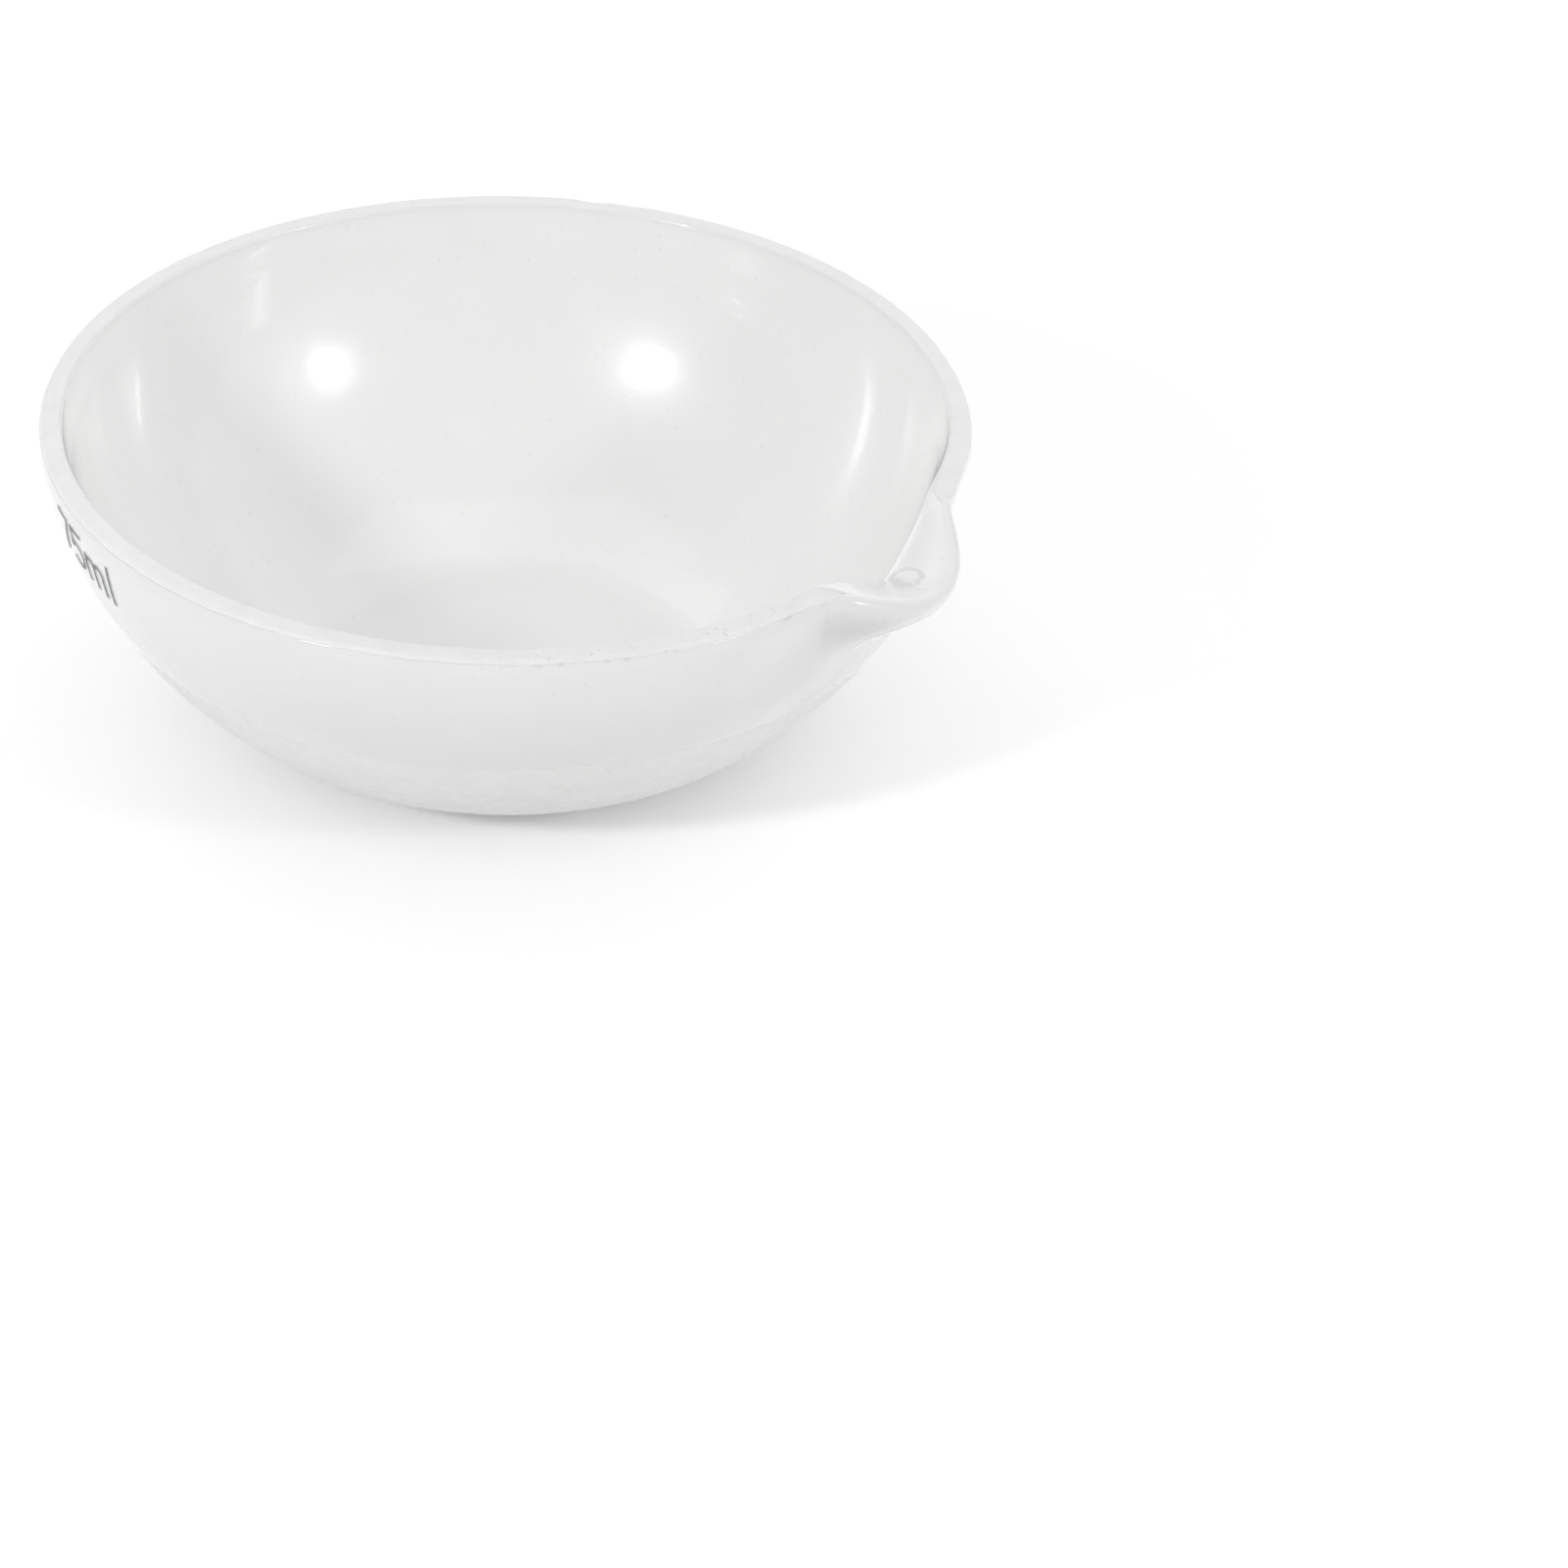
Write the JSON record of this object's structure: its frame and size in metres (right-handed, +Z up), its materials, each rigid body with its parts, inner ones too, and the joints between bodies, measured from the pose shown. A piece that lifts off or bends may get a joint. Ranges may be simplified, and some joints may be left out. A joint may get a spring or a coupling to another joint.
{
  "type": "evaporating dish",
  "caption": "Shallow round porcelain evaporating dish with a flat base, a bare rim, a pouring spout, gloss glaze inside and round the upper wall, and a fired-on capacity mark.",
  "frame": {"origin": "centre of the flat underside, on the axis of the round bowl", "axes": "+Z up out of the bowl, +X towards the pouring spout, +Y to the left of the spout seen from inside the bowl"},
  "size_m": [0.0836, 0.08, 0.028],
  "materials": {
    "biscuit": "unglazed porcelain, fine satin grain",
    "glaze": "clear gloss glaze on white porcelain",
    "fired_ink": "fired-on dark grey-green enamel"
  },
  "bodies": {
    "root": {"porcelain_body": "biscuit", "inner_glaze": "glaze", "outer_glaze": "glaze", "mark_7": "fired_ink", "mark_5": "fired_ink", "mark_m": "fired_ink", "mark_l": "fired_ink"}
  },
  "joints": []
}
